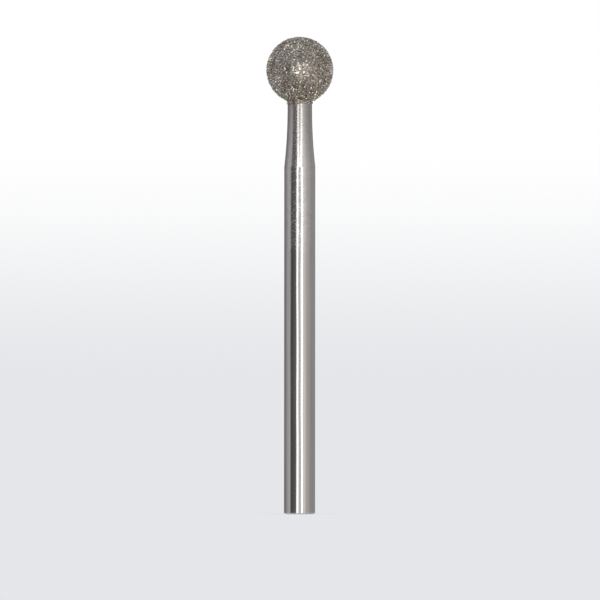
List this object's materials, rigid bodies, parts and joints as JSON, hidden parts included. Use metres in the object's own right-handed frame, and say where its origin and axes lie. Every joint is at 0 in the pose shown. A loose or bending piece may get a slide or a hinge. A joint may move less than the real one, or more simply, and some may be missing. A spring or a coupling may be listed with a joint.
{
  "type": "dental diamond bur",
  "caption": "Rotary grinding bur: a round straight shank tapers in to a slim neck that carries a ball head coated with diamond grit.",
  "frame": {"origin": "centre of the flat free end of the shank", "axes": "+Z along the axis, from the free end of the shank up to the ball head"},
  "size_m": [0.0066, 0.0065, 0.0461],
  "materials": {
    "polished_steel": "polished",
    "bonded_grit": "matte"
  },
  "bodies": {
    "root": {"steel_blank": "polished_steel", "diamond_coating": "bonded_grit"}
  },
  "joints": []
}
